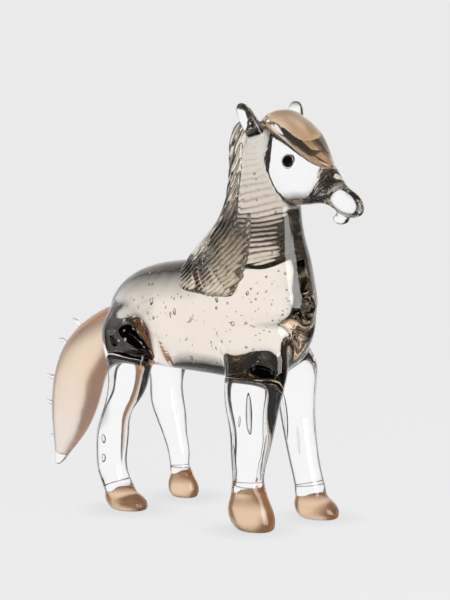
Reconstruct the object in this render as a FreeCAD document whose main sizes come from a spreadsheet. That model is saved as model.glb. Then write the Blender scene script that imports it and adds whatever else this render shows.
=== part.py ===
import FreeCAD, Part
import math
import os
import Sketcher
from FreeCAD import Placement, Rotation, Vector

# A standing horse in solid glass, drawn from cased gathers. Millimetres.
# Frame: the horse looks along -Y, its left is +X, +Z is up, the soles stand on Z = 0.
# "forward" is measured along -Y, "side" along +X, "height" along +Z.

doc = FreeCAD.newDocument("glass_horse")

# ---------------------------------------------------------------- named sizes
# Every gather is a row of stations. A station is an oval or a round section.
#   upright gathers: forward, height, depth (up and down), width (across)
#   standing gathers: height, forward, side, depth (front to back), width (across)
BARREL = {
    "dock":     dict(forward=-62.0, height=87.5, depth=14.0, width=11.0),
    "rump":     dict(forward=-59.5, height=87.8, depth=27.0, width=21.0),
    "croup":    dict(forward=-53.0, height=88.8, depth=37.6, width=29.8),
    "loin":     dict(forward=-42.0, height=90.2, depth=46.0, width=36.4),
    "flank":    dict(forward=-25.0, height=91.6, depth=51.0, width=40.4),
    "middle":   dict(forward=-8.0,  height=92.3, depth=53.0, width=41.6),
    "girth":    dict(forward=10.0,  height=91.5, depth=52.6, width=41.8),
    "shoulder": dict(forward=26.0,  height=91.5, depth=51.0, width=40.4),
    "breast":   dict(forward=38.0,  height=93.0, depth=45.0, width=35.6),
    "chest":    dict(forward=46.0,  height=94.0, depth=34.0, width=26.8),
    "point":    dict(forward=51.0,  height=95.0, depth=19.0, width=15.0),
}
NECK = {
    "root":   dict(height=90.0,  forward=18.0, depth=60.0, width=35.0),
    "base":   dict(height=100.0, forward=20.6, depth=62.0, width=38.0),
    "withers": dict(height=112.0, forward=23.0, depth=56.0, width=35.6),
    "lower":  dict(height=125.0, forward=25.2, depth=46.6, width=31.6),
    "middle": dict(height=140.0, forward=27.5, depth=37.0, width=28.0),
    "upper":  dict(height=155.0, forward=28.0, depth=32.0, width=25.2),
    "throat": dict(height=168.0, forward=28.0, depth=28.0, width=22.0),
    "poll":   dict(height=175.5, forward=29.0, round=21.6),
    "crown":  dict(height=180.5, forward=30.5, round=12.0),
}
HEAD = {
    "nape":     dict(along=-26.0, rise=1.5,  depth=8.0,  width=6.0),
    "back":     dict(along=-23.0, rise=1.6,  depth=15.5, width=12.0),
    "crest":    dict(along=-15.0, rise=2.0,  depth=24.5, width=19.0),
    "jowl":     dict(along=-8.0,  rise=1.5,  depth=29.5, width=23.5),
    "cheek":    dict(along=0.0,   rise=0.6,  depth=32.0, width=25.4),
    "face":     dict(along=8.0,   rise=-1.0, depth=30.0, width=23.8),
    "bridge":   dict(along=16.0,  rise=-0.2, depth=23.0, width=18.2),
    "nose":     dict(along=23.0,  rise=0.8,  depth=15.6, width=12.4),
    "nostril":  dict(along=30.0,  rise=0.1,  depth=12.4, width=9.8),
    "muzzle":   dict(along=35.6,  rise=0.2,  depth=11.8, width=9.3),
    "lip":      dict(along=40.4,  rise=0.4,  depth=8.2,  width=6.4),
    "tip":      dict(along=43.0,  rise=0.6,  depth=3.0,  width=2.3),
}
FORELOCK = {
    "root":  dict(along=-24.0, rise=9.0,  depth=6.0,  width=10.0),
    "start": dict(along=-22.0, rise=10.5, depth=8.4,  width=14.0),
    "rise":  dict(along=-17.0, rise=13.3, depth=11.4, width=20.0),
    "crown": dict(along=-9.0,  rise=14.0, depth=12.0, width=22.0),
    "brow":  dict(along=1.6,   rise=12.8, depth=11.2, width=21.0),
    "front": dict(along=10.0,  rise=10.6, depth=8.0,  width=16.0),
    "lock":  dict(along=16.0,  rise=9.4,  depth=4.0,  width=10.0),
    "tip":   dict(along=19.0,  rise=9.6,  depth=1.4,  width=3.4),
}
FORELOCK_CORE = {
    "rear":  dict(along=-20.5, rise=12.4, depth=3.0, width=8.0),
    "rise":  dict(along=-16.0, rise=14.4, depth=5.0, width=14.0),
    "crown": dict(along=-9.0,  rise=15.6, depth=6.2, width=16.6),
    "brow":  dict(along=-1.5,  rise=14.8, depth=5.4, width=15.4),
    "front": dict(along=3.5,   rise=13.8, depth=3.2, width=9.6),
}
TAIL = {
    "dock":   dict(forward=-56.5,  height=88.0, pitch=18.0, depth=15.0, width=11.4),
    "root":   dict(forward=-63.5,  height=83.4, pitch=31.0, depth=19.4, width=14.8),
    "upper":  dict(forward=-71.6,  height=76.6, pitch=46.0, depth=25.0, width=18.0),
    "swell":  dict(forward=-82.5,  height=66.5, pitch=58.0, depth=27.0, width=19.0),
    "full":   dict(forward=-89.0,  height=52.5, pitch=64.0, depth=28.4, width=18.6),
    "taper":  dict(forward=-96.5,  height=27.0, pitch=70.0, depth=16.4, width=12.4),
    "wisp":   dict(forward=-100.0, height=17.0, pitch=78.0, depth=8.0,  width=6.2),
    "tip":    dict(forward=-103.6, height=11.0, pitch=72.0, depth=2.8,  width=2.1),
}
EAR_RIGHT = {
    "base":   dict(height=174.0, forward=31.0, side=-8.4,  depth=13.0, width=9.0),
    "middle": dict(height=184.0, forward=28.4, side=-11.8, depth=10.0, width=7.6),
    "top":    dict(height=190.0, forward=26.0, side=-13.4, depth=8.2,  width=6.4),
    "tip":    dict(height=193.6, forward=24.6, side=-14.0, depth=3.2,  width=2.5),
}
EAR_LEFT = {
    "base":   dict(height=174.0, forward=36.0, side=8.0,   depth=12.0, width=8.6),
    "middle": dict(height=184.0, forward=35.0, side=11.0,  depth=9.2,  width=7.2),
    "top":    dict(height=190.0, forward=34.3, side=13.0,  depth=7.8,  width=6.2),
    "tip":    dict(height=193.4, forward=33.9, side=14.0,  depth=3.2,  width=2.5),
}
MANE_RIGHT = {
    "top":    dict(height=184.5, forward=20.0, side=-3.5,  depth=8.0,  width=5.0,  yaw=15.0),
    "poll":   dict(height=181.5, forward=20.0, side=-5.0,  depth=14.0, width=8.6,  yaw=18.0),
    "nape":   dict(height=175.0, forward=20.0, side=-6.0,  depth=19.0, width=10.4, yaw=20.0),
    "upper":  dict(height=165.0, forward=20.6, side=-6.6,  depth=20.0, width=11.0, yaw=20.0),
    "crest":  dict(height=153.0, forward=20.4, side=-7.6,  depth=21.6, width=11.2, yaw=22.0),
    "middle": dict(height=142.0, forward=18.4, side=-8.6,  depth=25.0, width=12.0, yaw=24.0),
    "spread": dict(height=131.0, forward=13.6, side=-10.2, depth=35.0, width=13.0, yaw=24.0),
    "fan":    dict(height=122.0, forward=9.2,  side=-12.0, depth=44.0, width=14.0, yaw=22.0),
    "lobe":   dict(height=113.0, forward=7.4,  side=-15.5, depth=45.0, width=13.6, yaw=18.0),
    "point":  dict(height=106.0, forward=9.4,  side=-18.2, depth=30.0, width=10.4, yaw=12.0),
    "tip":    dict(height=99.0,  forward=10.0, side=-20.4, depth=10.0, width=5.2,  yaw=6.0),
}
MANE_LEFT = {
    "top":    dict(height=184.0, forward=20.4, side=3.5,  depth=8.0,  width=5.0,  yaw=15.0),
    "poll":   dict(height=180.0, forward=20.4, side=5.0,  depth=14.0, width=9.0,  yaw=18.0),
    "nape":   dict(height=172.0, forward=20.4, side=6.5,  depth=20.0, width=11.0, yaw=20.0),
    "crest":  dict(height=158.0, forward=20.8, side=7.6,  depth=23.0, width=11.6, yaw=22.0),
    "middle": dict(height=143.0, forward=18.8, side=9.0,  depth=27.0, width=12.0, yaw=24.0),
    "fan":    dict(height=130.0, forward=14.5, side=10.5, depth=33.0, width=12.4, yaw=24.0),
    "lobe":   dict(height=121.0, forward=10.5,  side=12.5, depth=30.0, width=11.6, yaw=22.0),
    "tip":    dict(height=114.0, forward=8.0,  side=14.8, depth=12.0, width=7.0,  yaw=18.0),
}
LEG_FORE_RIGHT = {
    "top":      dict(height=94.0, forward=33.0, side=-10.4, depth=20.0, width=12.0),
    "shoulder": dict(height=83.0, forward=35.1, side=-16.0, depth=33.0, width=19.0),
    "elbow":    dict(height=71.6, forward=36.8, side=-18.0, depth=32.8, width=20.0),
    "forearm":  dict(height=60.0, forward=36.2, side=-19.5, depth=29.2, width=19.6),
    "aboveknee": dict(height=48.5, forward=37.0, side=-21.0, depth=23.2, width=18.4),
    "knee":     dict(height=39.2, forward=36.4, side=-21.0, round=18.6),
    "cannon":   dict(height=29.9, forward=35.2, side=-21.0, round=15.8),
    "fetlock":  dict(height=24.0, forward=34.8, side=-21.0, round=14.4),
}
LEG_FORE_LEFT = {
    "top":      dict(height=92.0, forward=27.0, side=9.0,  depth=20.0, width=12.0),
    "shoulder": dict(height=77.0, forward=27.4, side=16.0, depth=26.6, width=18.0),
    "forearm":  dict(height=63.2, forward=29.4, side=20.0, round=19.4),
    "knee":     dict(height=50.0, forward=29.5, side=21.0, round=16.6),
    "cannon":   dict(height=35.3, forward=31.8, side=21.0, round=14.8),
    "fetlock":  dict(height=20.2, forward=35.5, side=21.0, round=13.8),
    "pastern":  dict(height=15.5, forward=36.9, side=21.0, round=14.0),
}
LEG_HIND_RIGHT = {
    "top":     dict(height=94.0,  forward=-42.4, side=-10.4, depth=17.0, width=12.0),
    "thigh":   dict(height=88.0,  forward=-43.2, side=-14.5, depth=24.4, width=17.0),
    "stifle":  dict(height=76.0,  forward=-40.8, side=-18.0, depth=25.4, width=18.4),
    "gaskin":  dict(height=63.7,  forward=-38.9, side=-19.5, depth=21.2, width=16.2),
    "shank":   dict(height=53.0,  forward=-41.6, side=-20.0, depth=17.6, width=13.8),
    "hock":    dict(height=45.3,  forward=-46.0, side=-20.0, round=13.6),
    "cannon":  dict(height=37.0,  forward=-48.3, side=-20.0, round=14.8),
    "middle":  dict(height=27.0,  forward=-49.3, side=-20.0, round=14.4),
    "fetlock": dict(height=18.5,  forward=-49.0, side=-20.0, round=13.8),
    "pastern": dict(height=13.2,  forward=-46.8, side=-20.0, round=13.9),
}
LEG_HIND_LEFT = {
    "top":     dict(height=87.0, forward=-44.0, side=10.0, depth=18.0, width=12.0),
    "thigh":   dict(height=78.0, forward=-45.6, side=14.6, depth=25.0, width=17.4),
    "stifle":  dict(height=67.0, forward=-47.5, side=18.0, depth=23.6, width=17.6),
    "gaskin":  dict(height=54.0, forward=-50.0, side=20.0, round=15.4),
    "hock":    dict(height=44.8, forward=-49.1, side=20.0, round=15.6),
    "cannon":  dict(height=37.5, forward=-46.9, side=20.0, round=14.0),
    "middle":  dict(height=29.7, forward=-44.7, side=20.0, round=11.4),
    "fetlock": dict(height=19.8, forward=-42.0, side=20.0, round=9.7),
    "pastern": dict(height=13.0, forward=-41.0, side=20.0, round=9.8),
}
# Hooves: where the foot stands, how far the ankle leans back, how far the sole reaches
# toward the toe, and the height of the foot.
HOOVES = {
    "hoof_fore_right": dict(forward=37.0, side=-21.0, lean=2.2, toe=2.0, height=19.0,
                            sole_depth=16.6, sole_width=13.2, bulge_depth=23.0, bulge_width=18.0,
                            ankle=16.0),
    "hoof_fore_left": dict(forward=42.2, side=21.0, lean=4.6, toe=0.6, height=11.5,
                           sole_depth=18.8, sole_width=14.2, bulge_depth=22.6, bulge_width=17.0,
                           ankle=14.6),
    "hoof_hind_right": dict(forward=-38.9, side=-20.0, lean=5.8, toe=0.5, height=9.5,
                            sole_depth=18.0, sole_width=14.0, bulge_depth=21.4, bulge_width=16.6,
                            ankle=14.6),
    "hoof_hind_left": dict(forward=-39.0, side=20.0, lean=1.6, toe=0.4, height=12.5,
                           sole_depth=12.8, sole_width=10.0, bulge_depth=16.2, bulge_width=12.8,
                           ankle=10.4),
}
# Nips pulled from the back edge of the tail: where each starts and which way it points.
NIPS = {
    "one":   dict(forward=-83.0, height=78.4, pitch=30.0, length=6.6, width=3.6),
    "two":   dict(forward=-92.6, height=69.2, pitch=26.0, length=5.6, width=3.6),
    "three": dict(forward=-101.6, height=53.0, pitch=12.0, length=5.0, width=3.4),
    "four":  dict(forward=-102.8, height=41.0, pitch=6.0, length=4.8, width=3.2),
    "five":  dict(forward=-100.0, height=25.5, pitch=0.0, length=4.4, width=3.0),
}
SINGLE_SIZES = {
    "centre_shift": 13.0,       # moves the whole horse so that its box is centred on the origin
    "barrel_casing": 2.6,       # clear glass outside the tinted barrel
    "neck_casing": 2.0,         # clear glass outside the tinted neck
    "tail_casing": 1.1,         # clear glass over the caramel tail
    "hoof_casing": 1.2,         # clear glass over the caramel hooves
    "head_forward": 45.0,       # middle of the head, on its long axis
    "head_height": 166.0,
    "head_droop": 28.0,         # degrees the nose points below level
    "eye_along": 3.2,           # eye, from the middle of the head towards the nose
    "eye_rise": 4.3,            # eye, above the long axis of the head
    "eye_spread": 10.4,         # eye lens centre, from the middle plane
    "eye_lens_radius": 3.5,
    "eye_bead_radius": 2.4,
    "eye_bead_out": 0.9,        # bead centre, outward of the lens centre
    "lower_lip_along": 34.0,
    "lower_lip_drop": 8.2,
    "lower_lip_length": 4.6,    # half lengths of the small lip drop
    "lower_lip_width": 2.6,
    "lower_lip_height": 2.6,
}

sheet = doc.addObject("Spreadsheet::Sheet", "sizes")
row_count = 0


def put_size(alias, value):
    """Write one named size as plain text on the next row of the sheet."""
    global row_count
    row_count += 1
    sheet.set("A%d" % row_count, alias)
    sheet.set("B%d" % row_count, repr(float(value)))
    sheet.setAlias("B%d" % row_count, alias)


GATHERS = {
    "barrel": BARREL, "neck": NECK, "head": HEAD, "forelock": FORELOCK,
    "forelock_core": FORELOCK_CORE, "tail": TAIL,
    "ear_right": EAR_RIGHT, "ear_left": EAR_LEFT,
    "mane_right": MANE_RIGHT, "mane_left": MANE_LEFT,
    "leg_fore_right": LEG_FORE_RIGHT, "leg_fore_left": LEG_FORE_LEFT,
    "leg_hind_right": LEG_HIND_RIGHT, "leg_hind_left": LEG_HIND_LEFT,
}
for gather_name, stations in GATHERS.items():
    for station_name, measures in stations.items():
        for measure, value in measures.items():
            put_size("%s_%s_%s" % (gather_name, station_name, measure), value)
for hoof_name, measures in HOOVES.items():
    for measure, value in measures.items():
        put_size("%s_%s" % (hoof_name, measure), value)
for nip_name, measures in NIPS.items():
    for measure, value in measures.items():
        put_size("nip_%s_%s" % (nip_name, measure), value)
for single_name, value in SINGLE_SIZES.items():
    put_size(single_name, value)
doc.recompute()


# ---------------------------------------------------------------- building helpers
def origin_plane(body, role):
    """Return the body's own origin plane with the given role."""
    for feature in body.Origin.OriginFeatures:
        if feature.Role == role:
            return feature
    raise RuntimeError("no plane " + role)


def new_body(name):
    """Start a body that is carried by the common centre shift."""
    body = doc.addObject("PartDesign::Body", name)
    body.setExpression("Placement.Base.y", "-sizes.centre_shift")
    return body


def add_section(body, name, plane, offset, depth, width, turn_axis=None, turn=None, flat=False):
    """Add one closed section: an oval (depth by width) or, without a width, a circle.

    offset holds three expressions in the plane's own axes. turn is an expression in degrees
    about turn_axis. flat lays the long axis of the oval across instead of upright.
    """
    sketch = body.newObject("Sketcher::SketchObject", name)
    sketch.AttachmentSupport = (origin_plane(body, plane), [""])
    sketch.MapMode = "FlatFace"
    if turn is not None:
        sketch.AttachmentOffset = Placement(Vector(0, 0, 0), Rotation(turn_axis, 10))
        sketch.setExpression("AttachmentOffset.Rotation.Angle", turn)
    for axis, expression in zip("xyz", offset):
        if expression is not None:
            sketch.setExpression("AttachmentOffset.Base." + axis, expression)
    if width is None:
        circle = Part.Circle(Vector(0, 0, 0), Vector(0, 0, 1), 5)
        circle.AngleXU = 0.0 if flat else math.pi / 2
        sketch.addGeometry(circle)
        sketch.addConstraint(Sketcher.Constraint("Coincident", 0, 3, -1, 1))
        sketch.addConstraint(Sketcher.Constraint("Diameter", 0, 10.0))
        sketch.renameConstraint(sketch.ConstraintCount - 1, "depth")
        sketch.setExpression("Constraints.depth", depth)
        return sketch
    long_point = Vector(10, 0, 0) if flat else Vector(0, 10, 0)
    short_point = Vector(0, 6, 0) if flat else Vector(6, 0, 0)
    sketch.addGeometry(Part.Ellipse(long_point, short_point, Vector(0, 0, 0)))
    sketch.exposeInternalGeometry(0)
    sketch.addConstraint(Sketcher.Constraint("Coincident", 0, 3, -1, 1))
    sketch.addConstraint(Sketcher.Constraint("Horizontal" if flat else "Vertical", 1))
    long_size, short_size = (width, depth) if flat else (depth, width)
    for line, size, label in ((1, long_size, "long"), (2, short_size, "short")):
        sketch.addConstraint(Sketcher.Constraint("Distance", line, 20.0 if line == 1 else 12.0))
        sketch.renameConstraint(sketch.ConstraintCount - 1, label)
        sketch.setExpression("Constraints." + label, size)
    return sketch


def add_loft(body, sections):
    """Blend the sections into one smooth solid."""
    loft = body.newObject("PartDesign::AdditiveLoft", body.Name + "_loft")
    loft.Profile = sections[0]
    loft.Sections = sections[1:]
    loft.Ruled = False
    body.Tip = loft
    return body


def measured(gather, station, measures, skin):
    """Depth and width expressions of one station, less the casing on both sides."""
    less = "" if skin is None else " - 2 * sizes." + skin
    key = "sizes.%s_%s_" % (gather, station)
    if "round" in measures:
        return key + "round" + less, None
    return key + "depth" + less, key + "width" + less


def pick(stations, skin, trim):
    """All stations for a whole gather, or only the inner ones for its core."""
    items = list(stations.items())
    if skin is None:
        return items
    return items[trim[0]:len(items) - trim[1]]


def lying_gather(name, gather, stations, skin=None, trim=(1, 1)):
    """A gather built from upright sections that follow one another forward."""
    body = new_body(name)
    sections = []
    for station, measures in pick(stations, skin, trim):
        key = "sizes.%s_%s_" % (gather, station)
        depth, width = measured(gather, station, measures, skin)
        turn = key + "pitch" if "pitch" in measures else None
        sections.append(add_section(body, "%s_%s" % (name, station), "XZ_Plane",
                                    (None, key + "height", key + "forward"),
                                    depth, width, Vector(-1, 0, 0), turn))
    return add_loft(body, sections)


def head_gather(name, gather, stations, flat=False):
    """A gather whose sections stand square to the drooping long axis of the head."""
    body = new_body(name)
    sections = []
    for station, measures in stations.items():
        key = "sizes.%s_%s_" % (gather, station)
        depth, width = measured(gather, station, measures, None)
        height = ("sizes.head_height - {0}along * sin(sizes.head_droop * 1deg)"
                  " + {0}rise * cos(sizes.head_droop * 1deg)").format(key)
        forward = ("sizes.head_forward + {0}along * cos(sizes.head_droop * 1deg)"
                   " + {0}rise * sin(sizes.head_droop * 1deg)").format(key)
        sections.append(add_section(body, "%s_%s" % (name, station), "XZ_Plane",
                                    (None, height, forward), depth, width,
                                    Vector(1, 0, 0), "sizes.head_droop", flat))
    return add_loft(body, sections)


def standing_gather(name, gather, stations, skin=None, trim=(1, 1), foot=None):
    """A gather built from level sections stacked upward; foot ends it on top of a hoof.

    A yaw turns a section so that its front edge swings outward, away from the middle plane.
    """
    yaw_axis = Vector(0, 0, -1) if name.startswith("mane_right") else Vector(0, 0, 1)
    body = new_body(name)
    sections = []
    for station, measures in pick(stations, skin, trim):
        key = "sizes.%s_%s_" % (gather, station)
        depth, width = measured(gather, station, measures, skin)
        side = key + "side" if "side" in measures else None
        turn = key + "yaw" if "yaw" in measures else None
        sections.append(add_section(body, "%s_%s" % (name, station), "XY_Plane",
                                    (side, "-" + key + "forward", key + "height"),
                                    depth, width, yaw_axis, turn))
    if foot is not None:
        key = "sizes.%s_" % foot
        sections.append(add_section(body, name + "_foot", "XY_Plane",
                                    (key + "side", "%slean - %sforward" % (key, key),
                                     key + "height"), key + "ankle", None))
    return add_loft(body, sections)


def hoof_gather(name, hoof, skin=None):
    """A rounded hoof on a flat sole, narrowing upward to the ankle."""
    body = new_body(name)
    key = "sizes.%s_" % hoof
    less = "" if skin is None else " - 2 * sizes." + skin
    lift = "" if skin is None else " + sizes." + skin
    drop = "" if skin is None else " - sizes." + skin
    levels = (
        # name, height, shares of the lean and of the toe reach, depth, width
        ("sole", "0 * 1" + lift, 0.0, 1.0, key + "sole_depth" + less,
         key + "sole_width" + less),
        ("rim", key + "height * 0.2", 0.1, 0.5, key + "bulge_depth * 0.97" + less,
         key + "bulge_width * 0.97" + less),
        ("bulge", key + "height * 0.42", 0.25, 0.0, key + "bulge_depth" + less,
         key + "bulge_width" + less),
        ("shelf", key + "height * 0.72", 0.65, 0.0,
         "(" + key + "bulge_depth * 0.55 + " + key + "ankle * 0.47)" + less,
         "(" + key + "bulge_width * 0.4 + " + key + "ankle * 0.5)" + less),
        ("ankle", key + "height" + drop, 1.0, 0.0, key + "ankle" + less, None),
    )
    sections = []
    for level, height, lean, toe, depth, width in levels:
        back = "{0}lean * {1} - {0}toe * {2} - {0}forward".format(key, lean, toe)
        sections.append(add_section(body, "%s_%s" % (name, level), "XY_Plane",
                                    (key + "side", back, height), depth, width))
    return add_loft(body, sections)


def placed(kind, name, sizes, where):
    """A Part primitive with bound sizes at a bound place (side, forward, height)."""
    shape = doc.addObject(kind, name)
    for prop, expression in sizes.items():
        shape.setExpression(prop, expression)
    side, forward, height = where
    shape.setExpression("Placement.Base.x", side)
    shape.setExpression("Placement.Base.y", "-(%s) - sizes.centre_shift" % forward)
    shape.setExpression("Placement.Base.z", height)
    return shape


def cut(name, base, *tools):
    """Take the tools away from the base, so that neighbours meet face to face."""
    result = base
    for count, tool in enumerate(tools, 1):
        step = doc.addObject("Part::Cut", name if count == len(tools) else
                             "%s_step_%d" % (name, count))
        step.Base = result
        step.Tool = tool
        result = step
    return result


def head_point(along, rise):
    """Forward and height expressions of a point given in the head's own axes."""
    forward = ("sizes.head_forward + ({0}) * cos(sizes.head_droop * 1deg)"
               " + ({1}) * sin(sizes.head_droop * 1deg)").format(along, rise)
    height = ("sizes.head_height - ({0}) * sin(sizes.head_droop * 1deg)"
              " + ({1}) * cos(sizes.head_droop * 1deg)").format(along, rise)
    return forward, height


# ---------------------------------------------------------------- whole gathers
parts = {}
barrel = lying_gather("barrel_whole", "barrel", BARREL)
barrel_inner = lying_gather("barrel_inner", "barrel", BARREL, skin="barrel_casing", trim=(2, 2))
neck = standing_gather("neck_whole", "neck", NECK)
neck_inner = standing_gather("neck_inner", "neck", NECK, skin="neck_casing", trim=(1, 1))
head = head_gather("head_whole", "head", HEAD)
forelock = head_gather("forelock_whole", "forelock", FORELOCK, flat=True)
forelock_inner = head_gather("forelock_core", "forelock_core", FORELOCK_CORE, flat=True)
tail = lying_gather("tail_whole", "tail", TAIL)
tail_inner = lying_gather("tail_inner", "tail", TAIL, skin="tail_casing", trim=(0, 1))
ear_right = standing_gather("ear_right_whole", "ear_right", EAR_RIGHT)
ear_left = standing_gather("ear_left_whole", "ear_left", EAR_LEFT)
mane_right = standing_gather("mane_right_whole", "mane_right", MANE_RIGHT)
mane_left = standing_gather("mane_left_whole", "mane_left", MANE_LEFT)

# ---------------------------------------------------------------- barrel and neck
parts["barrel_casing"] = cut("barrel_casing", barrel, barrel_inner)
parts["barrel_core"] = barrel_inner
parts["neck_core"] = cut("neck_core", neck_inner, barrel, head, forelock)
parts["neck_casing"] = cut("neck_casing", neck, neck_inner, barrel, head, forelock)

# ---------------------------------------------------------------- head
lenses, beads = [], []
eye_forward, eye_height = head_point("sizes.eye_along", "sizes.eye_rise")
for side_name, sign in (("right", "-"), ("left", "")):
    lens = placed("Part::Sphere", "eye_lens_%s_whole" % side_name,
                  {"Radius": "sizes.eye_lens_radius"},
                  (sign + "sizes.eye_spread", eye_forward, eye_height))
    if side_name == "left":
        lens.Placement.Rotation = Rotation(Vector(0, 0, 1), 180)    # seam towards the head
    bead = placed("Part::Sphere", "eye_bead_" + side_name,
                  {"Radius": "sizes.eye_bead_radius"},
                  ("%s(sizes.eye_spread + sizes.eye_bead_out)" % sign, eye_forward, eye_height))
    lenses.append(lens)
    beads.append(bead)
    parts["eye_bead_" + side_name] = bead
    parts["eye_lens_" + side_name] = cut("eye_lens_" + side_name, lens, bead)
lip_forward, lip_height = head_point("sizes.lower_lip_along", "-sizes.lower_lip_drop")
lip = placed("Part::Ellipsoid", "lower_lip_whole",
             {"Radius2": "sizes.lower_lip_length", "Radius1": "sizes.lower_lip_height",
              "Radius3": "sizes.lower_lip_width"}, ("0", lip_forward, lip_height))
lip.Placement.Rotation = Rotation(Vector(0, 0, 1), 90)
lip.setExpression("Placement.Rotation.Angle", "90")
parts["head"] = cut("head", head, forelock, *lenses)
parts["lower_lip"] = cut("lower_lip", lip, head)
parts["ear_right"] = cut("ear_right", ear_right, head, neck, forelock)
parts["ear_left"] = cut("ear_left", ear_left, head, neck, forelock)
parts["forelock_core"] = forelock_inner
parts["forelock_casing"] = cut("forelock_casing", forelock, forelock_inner)

# ---------------------------------------------------------------- mane
parts["mane_right"] = cut("mane_right", mane_right, neck, barrel, head, ear_right, forelock)
parts["mane_left"] = cut("mane_left", mane_left, neck, barrel, head, ear_left, forelock,
                         mane_right)

# ---------------------------------------------------------------- legs and hooves
LEGS = (("fore_right", LEG_FORE_RIGHT), ("fore_left", LEG_FORE_LEFT),
        ("hind_right", LEG_HIND_RIGHT), ("hind_left", LEG_HIND_LEFT))
for place, stations in LEGS:
    hoof = hoof_gather("hoof_%s_whole" % place, "hoof_" + place)
    hoof_core = hoof_gather("hoof_core_" + place, "hoof_" + place, skin="hoof_casing")
    leg = standing_gather("leg_%s_whole" % place, "leg_" + place, stations,
                          foot="hoof_" + place)
    parts["hoof_core_" + place] = hoof_core
    parts["hoof_casing_" + place] = cut("hoof_casing_" + place, hoof, hoof_core)
    tools = [barrel] + ([neck] if place.startswith("fore") else [])
    parts["leg_" + place] = cut("leg_" + place, leg, *tools)

# ---------------------------------------------------------------- tail
parts["tail_core"] = cut("tail_core", tail_inner, barrel)
parts["tail_casing"] = cut("tail_casing", tail, barrel, tail_inner)
spikes = []
for nip_name in NIPS:
    key = "sizes.nip_%s_" % nip_name
    spike = placed("Part::Cone", "nip_%s_whole" % nip_name,
                   {"Radius1": key + "width / 2", "Radius2": key + "width * 0.12",
                    "Height": key + "length * 1.6"},
                   ("0", key + "forward", key + "height"))
    spike.Placement.Rotation = Rotation(Vector(-1, 0, 0), 60)
    spike.setExpression("Placement.Rotation.Angle", "90 - " + key + "pitch")
    spikes.append(spike)
nips = doc.addObject("Part::MultiFuse", "tail_nips_whole")
nips.Shapes = spikes
parts["tail_nips"] = cut("tail_nips", nips, tail)

doc.recompute()

# ---------------------------------------------------------------- check and write
for item in doc.Objects:
    if "Invalid" in item.State or "Error" in item.State:
        raise RuntimeError("%s did not build: %s" % (item.Name, item.State))
os.makedirs("parts", exist_ok=True)
for node, item in parts.items():
    item.Label = node
    if item.Shape.isNull() or not item.Shape.isValid():
        raise RuntimeError(node + " has no valid shape")
    item.Shape.exportStep("parts/%s.step" % node)
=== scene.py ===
import logging
import math
from dataclasses import dataclass
from enum import Enum
from typing import Iterable, Sequence

import bpy
import numpy as np
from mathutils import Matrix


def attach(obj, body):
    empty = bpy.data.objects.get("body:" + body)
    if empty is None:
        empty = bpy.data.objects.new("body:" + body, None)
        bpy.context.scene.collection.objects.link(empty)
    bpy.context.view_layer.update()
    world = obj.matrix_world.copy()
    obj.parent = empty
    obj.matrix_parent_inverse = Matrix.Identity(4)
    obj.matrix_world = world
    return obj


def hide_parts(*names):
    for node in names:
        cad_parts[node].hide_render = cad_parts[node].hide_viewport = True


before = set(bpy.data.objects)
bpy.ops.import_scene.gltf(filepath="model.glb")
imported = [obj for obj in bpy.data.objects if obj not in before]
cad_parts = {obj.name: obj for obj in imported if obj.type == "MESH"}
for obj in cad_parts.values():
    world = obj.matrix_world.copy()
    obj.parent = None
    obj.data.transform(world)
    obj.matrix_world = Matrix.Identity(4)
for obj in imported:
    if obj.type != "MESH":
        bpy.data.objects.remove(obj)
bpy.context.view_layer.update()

import openvdb as vdb
from mathutils import Vector

log = logging.getLogger("glass_horse")
MM = 0.001
CENTRE_SHIFT = 13 * MM          # the horse's own origin stands this far back from the frame's
LEGS = ("fore_right", "fore_left", "hind_right", "hind_left")


class Slot(str, Enum):
    """Names of the glasses the horse is made of."""

    CRYSTAL = "crystal"
    CHAMPAGNE = "champagne"
    CARAMEL = "caramel"
    MANE = "mane_brown"
    BEAD = "black_bead"


class Side(Enum):
    """Which side of the neck a lobe of the mane lies on."""

    RIGHT = -1
    LEFT = 1


# ------------------------------------------------------------------ distance fields
def node_polygons(name: str) -> tuple[np.ndarray, np.ndarray]:
    """Vertices and triangles of one CAD node.

    Args:
        name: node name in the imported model.
    Returns:
        Arrays (n, 3) in metres and (m, 3).
    """
    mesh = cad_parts[name].data
    mesh.calc_loop_triangles()
    points = np.empty(len(mesh.vertices) * 3, np.float32)
    mesh.vertices.foreach_get("co", points)
    triangles = np.empty(len(mesh.loop_triangles) * 3, np.int32)
    mesh.loop_triangles.foreach_get("vertices", triangles)
    return points.reshape(-1, 3), triangles.reshape(-1, 3)


def node_ball(name: str) -> tuple[np.ndarray, float]:
    """Middle and radius of a round CAD node.

    Args:
        name: node name.
    Returns:
        The middle in metres and the radius, half of the box's largest side.
    """
    points, _ = node_polygons(name)
    low, high = points.min(0).astype(float), points.max(0).astype(float)
    return (low + high) / 2, float((high - low).max() / 2)


def named(*starts: str) -> list[str]:
    """CAD nodes whose names begin with one of the given words.

    Args:
        starts: beginnings of node names.
    Returns:
        The node names.
    """
    return [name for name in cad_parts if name.startswith(starts)]


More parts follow.
